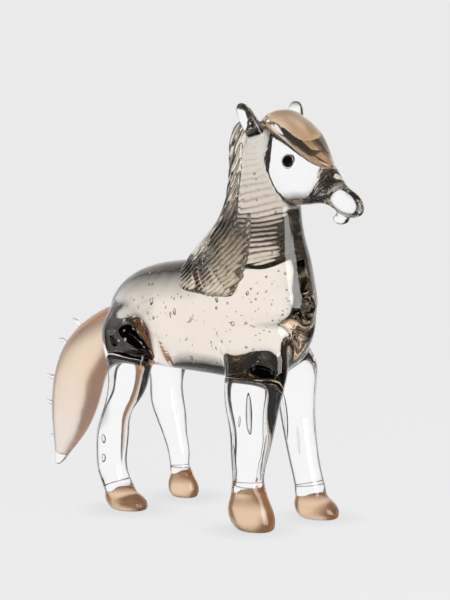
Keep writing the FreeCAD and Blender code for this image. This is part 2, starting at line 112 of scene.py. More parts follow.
@dataclass
class Grid:
    """A regular grid of distance samples.

    Attributes:
        voxel: spacing in metres.
        low: lowest corner in metres.
        high: highest corner in metres.
        band: distance in metres beyond which values are clamped.
    """

    voxel: float
    low: tuple[float, float, float]
    high: tuple[float, float, float]
    band: float = 9 * MM

    def __post_init__(self) -> None:
        """Work out the integer box of the grid."""
        self.start = np.floor(np.array(self.low) / self.voxel).astype(int)
        self.shape = np.ceil(np.array(self.high) / self.voxel).astype(int) - self.start + 1
        self.transform = vdb.createLinearTransform(voxelSize=self.voxel)
        self.corner = tuple(int(v) for v in self.start)

    def axes(self) -> tuple[np.ndarray, np.ndarray, np.ndarray]:
        """Coordinates of the samples.

        Returns:
            Three arrays in metres that broadcast over the grid.
        """
        return np.ix_(*[((self.start[i] + np.arange(self.shape[i])) * self.voxel)
                        .astype(np.float32) for i in range(3)])

    def distance(self, nodes: Iterable[str]) -> np.ndarray:
        """Signed distance to the union of CAD nodes, negative inside.

        Args:
            nodes: node names; each is sampled alone and the lowest value is kept.
        Returns:
            Field of the grid's shape in metres, clamped to the band.
        """
        total = np.full(self.shape, self.band, np.float32)
        for name in nodes:
            points, triangles = node_polygons(name)
            level_set = vdb.FloatGrid.createLevelSetFromPolygons(
                points, triangles=triangles, transform=self.transform,
                halfWidth=self.band / self.voxel)
            values = np.empty(self.shape, np.float32)
            level_set.copyToArray(values, ijk=self.corner)
            np.minimum(total, values, out=total)
        return np.clip(total, -self.band, self.band)

    def filled(self, casing: str, core: str, skin: float) -> np.ndarray:
        """Distance to a casing together with the core that fills it.

        Args:
            casing: node of the hollow outer glass.
            core: node of the inner glass.
            skin: how far the core is swollen to close the joint between them, in metres.
        Returns:
            Field of the grid's shape.
        """
        return np.minimum(self.distance([casing]), self.distance([core]) - skin)

    def surface(self, values: np.ndarray, level: float = 0.0) -> tuple[np.ndarray, np.ndarray]:
        """Quads of the level surface of a field.

        Args:
            values: field on this grid.
            level: value on the surface.
        Returns:
            Vertices (n, 3) in metres and quads (m, 4), faces outward.
        """
        level_set = vdb.FloatGrid(float(self.band))
        level_set.copyFromArray(np.ascontiguousarray(values, np.float32), ijk=self.corner)
        level_set.transform = self.transform
        points, quads = level_set.convertToQuads(isovalue=level)
        return np.asarray(points, np.float64), np.asarray(quads, np.int64)

    def at(self, values: np.ndarray, points: np.ndarray) -> np.ndarray:
        """Field values at the nearest samples.

        Args:
            values: field on this grid, with any number of trailing channels.
            points: places (n, 3) in metres.
        Returns:
            One value, or one row of channels, for each place.
        """
        index = np.rint(points / self.voxel).astype(int) - self.start
        index = np.clip(index, 0, np.array(self.shape) - 1)
        return values[index[:, 0], index[:, 1], index[:, 2]]


def smooth_min(a: np.ndarray, b: np.ndarray, radius: float) -> np.ndarray:
    """Union of two distance fields with a rounded inner corner.

    The lower value, less a quarter of the radius times the square of how close the two are.

    Args:
        a: first field.
        b: second field.
        radius: size of the rounding in metres.
    Returns:
        The blended field.
    """
    near = np.clip(1.0 - np.abs(a - b) / radius, 0.0, 1.0)
    return np.minimum(a, b) - 0.25 * radius * near * near


def blur(values: np.ndarray, rounds: int) -> np.ndarray:
    """Average every sample with its neighbours along the three axes.

    Args:
        values: field.
        rounds: how many times.
    Returns:
        The smoothed field.
    """
    for _ in range(rounds):
        for axis in range(3):
            values = (np.roll(values, 1, axis) + 2 * values + np.roll(values, -1, axis)) / 4
    return values


def ramp(values: np.ndarray, low: float, high: float) -> np.ndarray:
    """Rise smoothly from 0 at low to 1 at high.

    Args:
        values: numbers.
        low: where the rise starts.
        high: where it ends.
    Returns:
        Numbers from 0 to 1: three times the square less twice the cube.
    """
    t = np.clip((values - low) / (high - low), 0.0, 1.0)
    return t * t * (3 - 2 * t)


# ------------------------------------------------------------------ meshes
def add_piece(name: str, parts: Sequence[tuple[np.ndarray, np.ndarray]],
              replaces: Sequence[str]) -> bpy.types.Object:
    """Args:
        name: object name.
        parts: pairs of vertices (n, 3) in metres and faces (m, 3 or 4).
        replaces: CAD nodes it is shown in place of.
    Returns:
        The new object.
    """
    counts = np.cumsum([0] + [len(points) for points, _ in parts])
    points = np.vstack([points for points, _ in parts]).astype(np.float32)
    loops = np.concatenate([(faces + counts[i]).ravel() for i, (_, faces) in enumerate(parts)])
    sides = np.concatenate([np.full(len(faces), faces.shape[1]) for _, faces in parts])
    mesh = bpy.data.meshes.new(name)
    mesh.vertices.add(len(points))
    mesh.vertices.foreach_set("co", points.ravel())
    mesh.loops.add(len(loops))
    mesh.loops.foreach_set("vertex_index", loops.astype(np.int32))
    mesh.polygons.add(len(sides))
    mesh.polygons.foreach_set("loop_start", (np.cumsum(sides) - sides).astype(np.int32))
    mesh.polygons.foreach_set("use_smooth", np.ones(len(sides), bool))
    mesh.update(calc_edges=True)
    mesh.validate()
    piece = bpy.data.objects.new(name, mesh)
    bpy.context.scene.collection.objects.link(piece)
    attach(piece, "root")
    if replaces:
        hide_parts(*replaces)
    log.info("%s: %d faces", name, len(sides))
    return piece


def closed_grid(rows: int, sides: int) -> np.ndarray:
    """Triangles of a closed surface of rings that ends in two poles.

    Vertices are numbered ring by ring, then the first pole, then the last.

    Args:
        rows: rings between the poles.
        sides: points in each ring.
    Returns:
        Triangles (m, 3), facing outward for rings that turn from X to Y and climb along Z.
    """
    i = np.arange(sides)
    j = (i + 1) % sides
    low, high = rows * sides, rows * sides + 1
    ring = (np.arange(rows - 1) * sides)[:, None]
    lower = np.stack([ring + i, ring + j, ring + sides + j], -1).reshape(-1, 3)
    upper = np.stack([ring + i, ring + sides + j, ring + sides + i], -1).reshape(-1, 3)
    top = (rows - 1) * sides
    return np.vstack([lower, upper, np.stack([np.full(sides, low), j, i], 1),
                      np.stack([top + i, top + j, np.full(sides, high)], 1)])


def drops(centres: np.ndarray, radii: np.ndarray, stretch: np.ndarray, tilt: np.ndarray,
          rows: int = 7, sides: int = 12) -> tuple[np.ndarray, np.ndarray]:
    """Air bubbles: long drops whose faces look into the air.

    Every drop is a ball (cos lat cos lon, cos lat sin lon, sin lat) times its radius, drawn
    out along its own axis.

    Args:
        centres: (k, 3) in metres.
        radii: (k,) in metres.
        stretch: (k,) length over width.
        tilt: (k, 3) directions of the long axes.
        rows: rings on each drop.
        sides: points round each drop.
    Returns:
        Vertices and triangles of all the drops together.
    """
    lat = np.linspace(-np.pi / 2, np.pi / 2, rows + 2)[1:-1, None]
    lon = np.arange(sides) * 2 * np.pi / sides
    ball = np.stack([np.cos(lat) * np.cos(lon), np.cos(lat) * np.sin(lon),
                     np.sin(lat) * np.ones(sides)], -1).reshape(-1, 3)
    ball = np.vstack([ball, [[0, 0, -1], [0, 0, 1]]])
    axis = tilt / np.linalg.norm(tilt, axis=1, keepdims=True)
    across = np.cross(axis, [0.31, 0.95, 0.05])
    across /= np.linalg.norm(across, axis=1, keepdims=True)
    third = np.cross(axis, across)
    points = (ball[None, :, 0, None] * across[:, None] + ball[None, :, 1, None] * third[:, None]
              + ball[None, :, 2, None] * (axis * stretch[:, None])[:, None])
    points = centres[:, None] + points * radii[:, None, None]
    faces = closed_grid(rows, sides)[:, ::-1]
    step = np.arange(len(centres))[:, None, None] * len(ball)
    return points.reshape(-1, 3), (faces[None] + step).reshape(-1, 3)


def air_ring(centre: Sequence[float], radius: float, tube: float, lean: float,
             around: int = 72, across: int = 8) -> tuple[np.ndarray, np.ndarray]:
    """A hair-thin closed ring of air, as is shut in where one gather was set on another.

    A torus about the vertical, tipped forward by the lean; its faces look into the air.

    Args:
        centre: middle of the ring in metres.
        radius: radius of the ring in metres.
        tube: radius of the air line in metres.
        lean: forward tip in radians.
        around: points round the ring.
        across: points round the air line.
    Returns:
        Vertices and quads.
    """
    turn = np.arange(around)[:, None] * 2 * np.pi / around
    roll = np.arange(across)[None] * 2 * np.pi / across
    reach = radius + tube * np.cos(roll)
    x, y = reach * np.cos(turn), reach * np.sin(turn)
    z = tube * np.sin(roll) * np.ones_like(turn) + y * math.tan(lean)
    points = np.stack([x, y, z], -1).reshape(-1, 3) + np.array(centre)
    i, j = np.meshgrid(np.arange(around), np.arange(across), indexing="ij")
    i2, j2 = (i + 1) % around, (j + 1) % across
    faces = np.stack([i * across + j, i * across + j2, i2 * across + j2, i2 * across + j], -1)
    return points, faces.reshape(-1, 4)


# ------------------------------------------------------------------ finishes
def new_group(name: str, inputs: Sequence[tuple[str, str, float]],
              outputs: Sequence[tuple[str, str]]) -> tuple[bpy.types.NodeTree, dict]:
    """Start a shader node group.

    Args:
        name: group name.
        inputs: name, socket type and default of each input.
        outputs: name and socket type of each output.
    Returns:
        The group and its input and output nodes under "in" and "out".
    """
    group = bpy.data.node_groups.new(name, "ShaderNodeTree")
    for label, kind, value in inputs:
        socket = group.interface.new_socket(label, in_out="INPUT", socket_type=kind)
        socket.default_value = value
    for label, kind in outputs:
        group.interface.new_socket(label, in_out="OUTPUT", socket_type=kind)
    return group, {"in": group.nodes.new("NodeGroupInput"),
                   "out": group.nodes.new("NodeGroupOutput")}


def worked_skin() -> bpy.types.NodeTree:
    """Group for the slightly wavy, fire-polished skin that hot-worked glass has.

    Returns:
        A group with inputs Scale and Wave and outputs Fleck (0 to 1) and Normal.
    """
    if "worked_skin" in bpy.data.node_groups:
        return bpy.data.node_groups["worked_skin"]
    group, ends = new_group("worked_skin",
                            (("Scale", "NodeSocketFloat", 60.0), ("Wave", "NodeSocketFloat", 6e-5)),
                            (("Fleck", "NodeSocketFloat"), ("Normal", "NodeSocketVector")))
    coords = group.nodes.new("ShaderNodeTexCoord")
    noise = group.nodes.new("ShaderNodeTexNoise")
    noise.inputs["Detail"].default_value = 2.0
    bump = group.nodes.new("ShaderNodeBump")
    bump.inputs["Strength"].default_value = 1.0
    link = group.links.new
    link(coords.outputs["Object"], noise.inputs["Vector"])
    link(ends["in"].outputs["Scale"], noise.inputs["Scale"])
    link(noise.outputs["Fac"], bump.inputs["Height"])
    link(ends["in"].outputs["Wave"], bump.inputs["Distance"])
    link(noise.outputs["Fac"], ends["out"].inputs["Fleck"])
    link(bump.outputs["Normal"], ends["out"].inputs["Normal"])
    return group


def start_finish(name: str, scale: float, wave: float) -> tuple[bpy.types.Material, bpy.types.Node,
                                                                bpy.types.Node]:
    """Start a material whose normal comes from the worked skin.

    Args:
        name: material name.
        scale: waves per metre.
        wave: height of the waves in metres.
    Returns:
        The material, its Principled shader and the skin group node.
    """
    material = bpy.data.materials.new(name)
    material.use_nodes = True
    tree = material.node_tree
    shader = tree.nodes["Principled BSDF"]
    skin = tree.nodes.new("ShaderNodeGroup")
    skin.node_tree = worked_skin()
    skin.inputs["Scale"].default_value = scale
    skin.inputs["Wave"].default_value = wave
    tree.links.new(skin.outputs["Normal"], shader.inputs["Normal"])
    return material, shader, skin


def blend_color(tree: bpy.types.NodeTree, mask: bpy.types.NodeSocket,
                low: Sequence[float], high: Sequence[float]) -> bpy.types.NodeSocket:
    """Mix two colours by a mask.

    Args:
        tree: node tree.
        mask: value from 0 to 1.
        low: colour at 0.
        high: colour at 1.
    Returns:
        The colour output.
    """
    mix = tree.nodes.new("ShaderNodeMix")
    mix.data_type = "RGBA"
    mix.inputs[6].default_value = (*low, 1)
    mix.inputs[7].default_value = (*high, 1)
    tree.links.new(mask, mix.inputs[0])
    return mix.outputs[2]


def spread(tree: bpy.types.NodeTree, value: bpy.types.NodeSocket, low: float, high: float,
           to_low: float = 0.0, to_high: float = 1.0) -> bpy.types.NodeSocket:
    """Map a value from one range to another and hold it there.

    Args:
        tree: node tree.
        value: value to map.
        low: start of its range.
        high: end of its range.
        to_low: result at the start.
        to_high: result at the end.
    Returns:
        The mapped value.
    """
    node = tree.nodes.new("ShaderNodeMapRange")
    node.inputs["From Min"].default_value = low
    node.inputs["From Max"].default_value = high
    node.inputs["To Min"].default_value = to_low
    node.inputs["To Max"].default_value = to_high
    tree.links.new(value, node.inputs["Value"])
    return node.outputs["Result"]


@dataclass(frozen=True)
class ClearGlass:
    """Fire-polished clear glass.

    Attributes:
        ior: refractive index.
        scale: waves per metre on its skin.
        wave: height of the waves in metres.
    """

    ior: float = 1.5
    scale: float = 60.0
    wave: float = 0.00005

    def build(self, name: str) -> bpy.types.Material:
        """Make the material.

        Args:
            name: material name.
        Returns:
            The finished material.
        """
        material, shader, skin = start_finish(name, self.scale, self.wave)
        tree = material.node_tree
        shader.inputs["IOR"].default_value = self.ior
        shader.inputs["Transmission Weight"].default_value = 1.0
        fleck = skin.outputs["Fleck"]
        tree.links.new(spread(tree, fleck, 0.3, 0.7, 0.0, 0.015), shader.inputs["Roughness"])
        tree.links.new(blend_color(tree, fleck, (0.985, 0.987, 0.985), (1.0, 1.0, 1.0)),
                       shader.inputs["Base Color"])
        return material


@dataclass(frozen=True)
class TintedHeart:
    """Tinted glass sealed inside clear glass: no refraction of its own, only absorption.

    Attributes:
        color: light that passes.
        density: absorption per metre.
    """

    color: tuple[float, float, float] = (0.95, 0.84, 0.70)
    density: float = 23.0

    def build(self, name: str) -> bpy.types.Material:
        """Make the material.

        Args:
            name: material name.
        Returns:
            The finished material.
        """
        material, shader, skin = start_finish(name, 40.0, 0.0)
        tree = material.node_tree
        shader.inputs["IOR"].default_value = 1.0
        shader.inputs["Transmission Weight"].default_value = 1.0
        shader.inputs["Roughness"].default_value = 0.0
        tree.links.new(blend_color(tree, skin.outputs["Fleck"], (0.985, 0.98, 0.97), (1.0, 1.0, 1.0)),
                       shader.inputs["Base Color"])
        volume = tree.nodes.new("ShaderNodeVolumeAbsorption")
        volume.inputs["Color"].default_value = (*self.color, 1)
        volume.inputs["Density"].default_value = self.density
        tree.links.new(volume.outputs["Volume"], tree.nodes["Material Output"].inputs["Volume"])
        return material


@dataclass(frozen=True)
class CaramelGlass:
    """Milky caramel glass with a painted glow: an even emission that stands in for the light it would
    gather when lit from behind.

    Attributes:
        deep: colour where the gather is thick.
        pale: colour where it thins out toward the ground.
        pale_below: height in metres where the pale end starts.
        pale_at: height in metres where it is palest.
        roughness: how far it scatters what passes.
        clearness: share of the light that passes.
        painted_glow: painted light, an emission colour that stands in for the light the milky glass
            would gather from all round.
    """

    deep: tuple[float, float, float] = (1.0, 0.84, 0.67)
    pale: tuple[float, float, float] = (1.0, 0.97, 0.94)
    pale_below: float = 0.060
    pale_at: float = 0.012
    roughness: float = 0.5
    clearness: float = 0.9
    painted_glow: tuple[float, float, float] = (0.060, 0.042, 0.034)

    def build(self, name: str) -> bpy.types.Material:
        """Make the material.

        Args:
            name: material name.
        Returns:
            The finished material.
        """
        material, shader, skin = start_finish(name, 90.0, 0.0001)
        tree = material.node_tree
        shader.inputs["IOR"].default_value = 1.15
        shader.inputs["Transmission Weight"].default_value = self.clearness
        shader.inputs["Specular IOR Level"].default_value = 0.2
        # Painted glow: a fixed emission that brightens the caramel whatever lamps stand round it.
        shader.inputs["Emission Color"].default_value = (*self.painted_glow, 1)
        shader.inputs["Emission Strength"].default_value = 1.0
        coords = tree.nodes.new("ShaderNodeTexCoord")
        split = tree.nodes.new("ShaderNodeSeparateXYZ")
        tree.links.new(coords.outputs["Object"], split.inputs[0])
        height = spread(tree, split.outputs["Z"], self.pale_at, self.pale_below)
        base = blend_color(tree, height, self.pale, self.deep)
        cloud = spread(tree, skin.outputs["Fleck"], 0.35, 0.65, 0.96, 1.0)
        shade = tree.nodes.new("ShaderNodeMix")
        shade.data_type = "RGBA"
        shade.blend_type = "MULTIPLY"
        shade.inputs[0].default_value = 1.0
        tree.links.new(base, shade.inputs[6])
        tree.links.new(cloud, shade.inputs[7])
        tree.links.new(shade.outputs[2], shader.inputs["Base Color"])
        tree.links.new(spread(tree, skin.outputs["Fleck"], 0.3, 0.7, self.roughness,
                              self.roughness + 0.1), shader.inputs["Roughness"])
        return material


@dataclass(frozen=True)
class CombedGlass:
    """Tinted glass combed into strands; between them the colour runs dark, partly the brown of the
    glass and partly painted shade in the grooves.

    Attributes:
        valley_tint_and_shade: colour between strands, the glass's brown darkened further as painted
            shade.
        ridge: colour on top of a strand.
    """

    valley_tint_and_shade: tuple[float, float, float] = (0.05, 0.028, 0.018)
    ridge: tuple[float, float, float] = (1.0, 0.91, 0.79)

    def build(self, name: str) -> bpy.types.Material:
        """Make the material.

        Args:
            name: material name.
        Returns:
            The finished material.
        """
        material, shader, skin = start_finish(name, 140.0, 0.00006)
        tree = material.node_tree
        shader.inputs["IOR"].default_value = 1.5
        shader.inputs["Transmission Weight"].default_value = 0.92
        comb = tree.nodes.new("ShaderNodeAttribute")
        comb.attribute_name = "ridge"
        # Painted shade: the colour darkens from the strand tops down into the grooves between them.
        mask = spread(tree, comb.outputs["Fac"], 0.16, 0.54)
        tree.links.new(blend_color(tree, mask, self.valley_tint_and_shade, self.ridge),
                       shader.inputs["Base Color"])
        tree.links.new(spread(tree, skin.outputs["Fleck"], 0.3, 0.7, 0.02, 0.07),
                       shader.inputs["Roughness"])
        return material


@dataclass(frozen=True)
class BlackGlass:
    """Polished black glass.

    Attributes:
        color: its colour.
        fleck: colour of its faint cloud.
    """

    color: tuple[float, float, float] = (0.006, 0.006, 0.007)
    fleck: tuple[float, float, float] = (0.012, 0.012, 0.014)

    def build(self, name: str) -> bpy.types.Material:
        """Make the material.

        Args:
            name: material name.
        Returns:
            The finished material.
        """
        material, shader, skin = start_finish(name, 300.0, 0.00002)
        tree = material.node_tree
        shader.inputs["IOR"].default_value = 1.5
        tree.links.new(blend_color(tree, skin.outputs["Fleck"], self.color, self.fleck),
                       shader.inputs["Base Color"])
        tree.links.new(spread(tree, skin.outputs["Fleck"], 0.3, 0.7, 0.03, 0.09),
                       shader.inputs["Roughness"])
        return material


# ------------------------------------------------------------------ the horse
@dataclass
class Bubbles:
    """Air shut in the glass: seeds all through the trunk, long drops in the legs, joint rings.

    Attributes:
        seeds: how many seed bubbles.
        seed_radius: their middle radius in metres.
        chance: seed of the random numbers.
        ring_tube: radius of the air line in a ring, in metres.
        eye_gap: how far an eye's ring stands off its bead, in metres.
        eye_out: how far an eye's ring lies outward of its bead's middle, in metres.
    """

    seeds: int = 330
    seed_radius: float = 0.27 * MM
    chance: int = 7
    ring_tube: float = 0.22 * MM
    eye_gap: float = 0.55 * MM
    eye_out: float = 0.2 * MM

    def scattered(self, grid: Grid, inside: np.ndarray) -> tuple[np.ndarray, np.ndarray]:
        """Seed bubbles at random places deep enough in the glass.

        Args:
            grid: grid of the field.
            inside: distance field of the glass that holds them.
        Returns:
            Vertices and triangles.
        """
        rng = np.random.default_rng(self.chance)
        places = rng.uniform(grid.low, grid.high, (60000, 3))
        depth = grid.at(inside, places)
        places = places[depth < -2.2 * MM][:self.seeds]
        radii = np.clip(self.seed_radius * np.exp(rng.normal(0, 0.5, len(places))),
                        0.14 * MM, 1.0 * MM)
        stretch = 1 + rng.random(len(places)) ** 3 * 1.2
        tilt = rng.normal(0, 0.35, (len(places), 3)) + (0, 0, 1)
        return drops(places, radii, stretch, tilt, 5, 9)

    def drawn(self) -> tuple[np.ndarray, np.ndarray]:
        """Long drops drawn out in the legs and the thigh.

        Returns:
            Vertices and triangles.
        """
        # forward, side, height, radius, half length over radius, forward tilt; millimetres
        table = np.array([
            (31.8, -24.2, 30.0, 0.75, 13.0, 0.00),
            (39.6, -18.6, 34.0, 0.60, 19.0, 0.16),
            (26.8, 18.6, 47.0, 0.75, 15.0, -0.10),
            (33.4, 17.4, 36.0, 0.55, 12.0, -0.12),
            (-50.8, -22.2, 32.8, 0.80, 2.6, 0.00),
            (-51.2, -22.0, 23.6, 0.80, 2.6, 0.05),
            (-41.0, -19.4, 88.0, 0.80, 2.0, 0.10),
            (-39.0, -20.6, 80.0, 0.60, 1.6, 0.00),
            (-42.6, -20.0, 79.0, 0.45, 1.4, 0.10),
            (-40.2, -20.0, 84.0, 0.40, 1.4, 0.10),
            (27.0, -22.6, 94.0, 1.00, 1.1, 0.00),
            (36.4, -20.4, 54.0, 1.30, 7.2, 0.00),
            (33.6, -22.8, 50.0, 0.50, 5.0, 0.05),
        ])
        centres = np.stack([table[:, 1], -table[:, 0], table[:, 2]], 1) * MM
        centres[:, 1] -= CENTRE_SHIFT
        tilt = np.stack([np.zeros(len(table)), -table[:, 5], np.ones(len(table))], 1)
        return drops(centres, table[:, 3] * MM, table[:, 4], tilt, 15, 14)

    def rings(self) -> list[tuple[np.ndarray, np.ndarray]]:
        """Hair-thin rings of air where the legs meet the hooves and round the eye beads.

        Returns:
            Vertices and quads of each ring.
        """
        # forward, side, height, ring radius, forward tip; millimetres and radians
        table = ((34.9, -21.0, 20.6, 6.4, 0.10), (37.2, 21.0, 15.0, 6.2, -0.12),
                 (-45.4, -20.0, 12.2, 6.1, -0.35), (-40.9, 20.0, 14.6, 4.1, 0.00))
        rings = [air_ring((side * MM, -forward * MM - CENTRE_SHIFT, height * MM), radius * MM,
                          self.ring_tube, tip) for forward, side, height, radius, tip in table]
        for side in Side:
            centre, radius = node_ball("eye_bead_" + side.name.lower())
            points, faces = air_ring((0, 0, 0), radius + self.eye_gap, self.ring_tube, 0.0)
            points = np.stack([points[:, 2], points[:, 0], points[:, 1]], 1)
            rings.append((points + centre + (side.value * self.eye_out, 0, 0), faces))
        return rings


@dataclass
class Crystal:
    """The fused clear body: trunk, neck, head, ears, lenses, legs, hoof casings and tail.

    Attributes:
        grid: grid round the whole horse.
        bubbles: the air inside.
        shoulder_radii: half width, half length and half height of the shoulders, in metres.
        shoulder_forward: how far forward their middle lies, in metres.
        shoulder_height: height of their middle in metres.
    """

    grid: Grid
    bubbles: Bubbles
    shoulder_radii: tuple[float, float, float] = (22.6 * MM, 27 * MM, 30 * MM)
    shoulder_forward: float = 22 * MM
    shoulder_height: float = 111 * MM

    def trunk(self) -> np.ndarray:
        """Barrel and neck run together, with the full shoulders that join them.

        Returns:
            Distance field.
        """
        barrel = self.grid.filled("barrel_casing", "barrel_core", 1.2 * MM)
        neck = self.grid.filled("neck_casing", "neck_core", 1.2 * MM)
        x, y, z = self.grid.axes()
        across, along, up = self.shoulder_radii
        reach = np.sqrt((x / across) ** 2
                        + ((y + CENTRE_SHIFT + self.shoulder_forward) / along) ** 2
                        + ((z - self.shoulder_height) / up) ** 2)
        shoulders = (reach - 1) * across
        return smooth_min(smooth_min(barrel, neck, 8 * MM), shoulders, 6 * MM)

    def head(self) -> np.ndarray:
        """Head, lip, lenses and ears run together, with the lenses closed over the beads.

        Returns:
            Distance field.
        """
        g = self.grid
        head = smooth_min(g.distance(["head"]), g.distance(["lower_lip"]), 1.5 * MM)
        beads = g.distance(named("eye_bead")) - 0.5 * MM
        lenses = np.minimum(g.distance(named("eye_lens")), beads)
        head = smooth_min(head, lenses, 0.8 * MM)
        return smooth_min(head, g.distance(named("ear_")), 2.5 * MM)

    def build(self) -> bpy.types.Object:
        """Blend the CAD gathers into one skin and add the air inside.

        Returns:
            The new piece.
        """
        g = self.grid
        trunk = self.trunk()
        body = trunk
        for place in LEGS:
            body = smooth_min(body, g.distance(["leg_" + place]), 7 * MM)
        body = smooth_min(body, self.head(), 2.0 * MM)
        for place in LEGS:
            hoof = g.filled("hoof_casing_" + place, "hoof_core_" + place, 0.6 * MM)
            body = smooth_min(body, hoof, 1.0 * MM)
        body = smooth_min(body, g.filled("tail_casing", "tail_core", 0.6 * MM), 1.6 * MM)
        body = blur(body, 1)
        parts = [g.surface(body), self.bubbles.scattered(g, trunk), self.bubbles.drawn(),
                 *self.bubbles.rings()]
        nodes = named("barrel_casing", "neck_casing", "head", "ear_", "eye_lens", "lower_lip",
                      "leg_", "hoof_casing", "tail_casing")
        return add_piece("crystal_body", parts, nodes)

    def dress(self, piece: bpy.types.Object) -> None:
        """Give the body its glass.

        Args:
            piece: the body.
        """
        piece.data.materials.append(ClearGlass().build("clear_glass"))


@dataclass
class Hearts:
    """Tinted gathers sealed in the clear body.

    Attributes:
        grid: grid round the whole horse.
        lock_front: Y where the caramel of the forelock ends toward the nose, in metres.
    """

    grid: Grid
    lock_front: float = -67 * MM

    def build(self) -> list[bpy.types.Object]:
        """Make the champagne heart and the caramel ones.

        Returns:
            The new pieces.
        """
        g = self.grid
        trunk = smooth_min(g.distance(["barrel_core"]), g.distance(["neck_core"]), 8 * MM)
        pieces = [add_piece("champagne_heart", [g.surface(trunk)],
                            ["barrel_core", "neck_core"])]
        for node in ["forelock_core", "tail_core"] + ["hoof_core_" + place for place in LEGS]:
            name = node.replace("_core", "_heart")
            heart = blur(g.distance([node]), 1)
            if node == "forelock_core":
                _, y, _ = g.axes()
                heart = -smooth_min(-heart, y - self.lock_front, 2 * MM)
            pieces.append(add_piece(name, [g.surface(heart)], [node]))
        return pieces

    def dress(self, pieces: Sequence[bpy.types.Object]) -> None:
        """Give each heart its glass.

        Args:
            pieces: the hearts, champagne first.
        """
        pieces[0].data.materials.append(TintedHeart().build("champagne_glass"))
        # The hoof and forelock caramel each carry a painted glow of their own strength, strongest in
        # the forelock.
        hoof = CaramelGlass(deep=(1.0, 0.76, 0.55), pale_below=-1.0, pale_at=-2.0,
                            painted_glow=(0.030, 0.014, 0.004)).build("caramel_hoof")
        tail = CaramelGlass().build("caramel_tail")
        forelock = CaramelGlass(deep=(1.0, 0.90, 0.78), pale_below=-1.0, pale_at=-2.0,
                                painted_glow=(0.13, 0.085, 0.048)).build("caramel_forelock")
        finishes = {"tail": tail, "hoof": hoof, "forelock": forelock}
        for piece in pieces[1:]:
            piece.data.materials.append(finishes[piece.name.split("_")[0]])


@dataclass
class TailWisps:
    """Thin crooked wisps pulled from the back edge of the tail."""

    def build(self) -> bpy.types.Object:
        """Make the wisps from the CAD nips, bent a little from side to side.

        Returns:
            The new piece.
        """
        grid = Grid(0.3 * MM, (-0.004, 0.066, 0.02), (0.004, 0.1, 0.084), 2 * MM)
        points, quads = grid.surface(blur(grid.distance(["tail_nips"]), 1), 0.12 * MM)
        points[:, 0] += 0.35 * MM * np.sin(points[:, 1] / (1.1 * MM))
        points[:, 2] += 0.25 * MM * np.sin(points[:, 1] / (0.8 * MM) + 1.0)
        return add_piece("tail_wisps", [(points, quads)], ["tail_nips"])

    def dress(self, piece: bpy.types.Object) -> None:
        """Give the wisps the body's glass.

        Args:
            piece: the wisps.
        """
        piece.data.materials.append(bpy.data.materials["clear_glass"])


@dataclass
class Forelock:
    """The clear dome over the poll, set on the head with a hair of air between them.

    Attributes:
        grid: grid round the head.
        gap: width of the joint in metres.
    """

    grid: Grid
    gap: float = 0.15 * MM

    def build(self) -> bpy.types.Object:
        """Make the dome.

        Returns:
            The new piece.
        """
        dome = self.grid.filled("forelock_casing", "forelock_core", 0.6 * MM)
        surface = self.grid.surface(blur(dome, 1), -self.gap)
        return add_piece("forelock_dome", [surface], ["forelock_casing"])

    def dress(self, piece: bpy.types.Object) -> None:
        """Give the dome the body's glass.

        Args:
            piece: the dome.
        """
        piece.data.materials.append(bpy.data.materials["clear_glass"])


@dataclass
class Eyes:
    """Black beads set in the clear lenses."""

    def build(self) -> list[bpy.types.Object]:
        """Make one bead on each side, a touch flatter outward than a ball.

        Returns:
            The new pieces.
        """
        pieces = []
        for side in Side:
            node = "eye_bead_" + side.name.lower()
            centre, radius = node_ball(node)
            ball, faces = drops(centre[None], np.array([radius]), np.array([0.94]),
                                np.array([[1.0, 0.0, 0.0]]), 23, 40)
            pieces.append(add_piece(node + "_glass", [(ball, faces[:, ::-1])], [node]))
        return pieces

    def dress(self, pieces: Sequence[bpy.types.Object]) -> None:
        """Give the beads their glass.

        Args:
            pieces: the beads.
        """
        black = BlackGlass().build("black_glass")
        for piece in pieces:
            piece.data.materials.append(black)


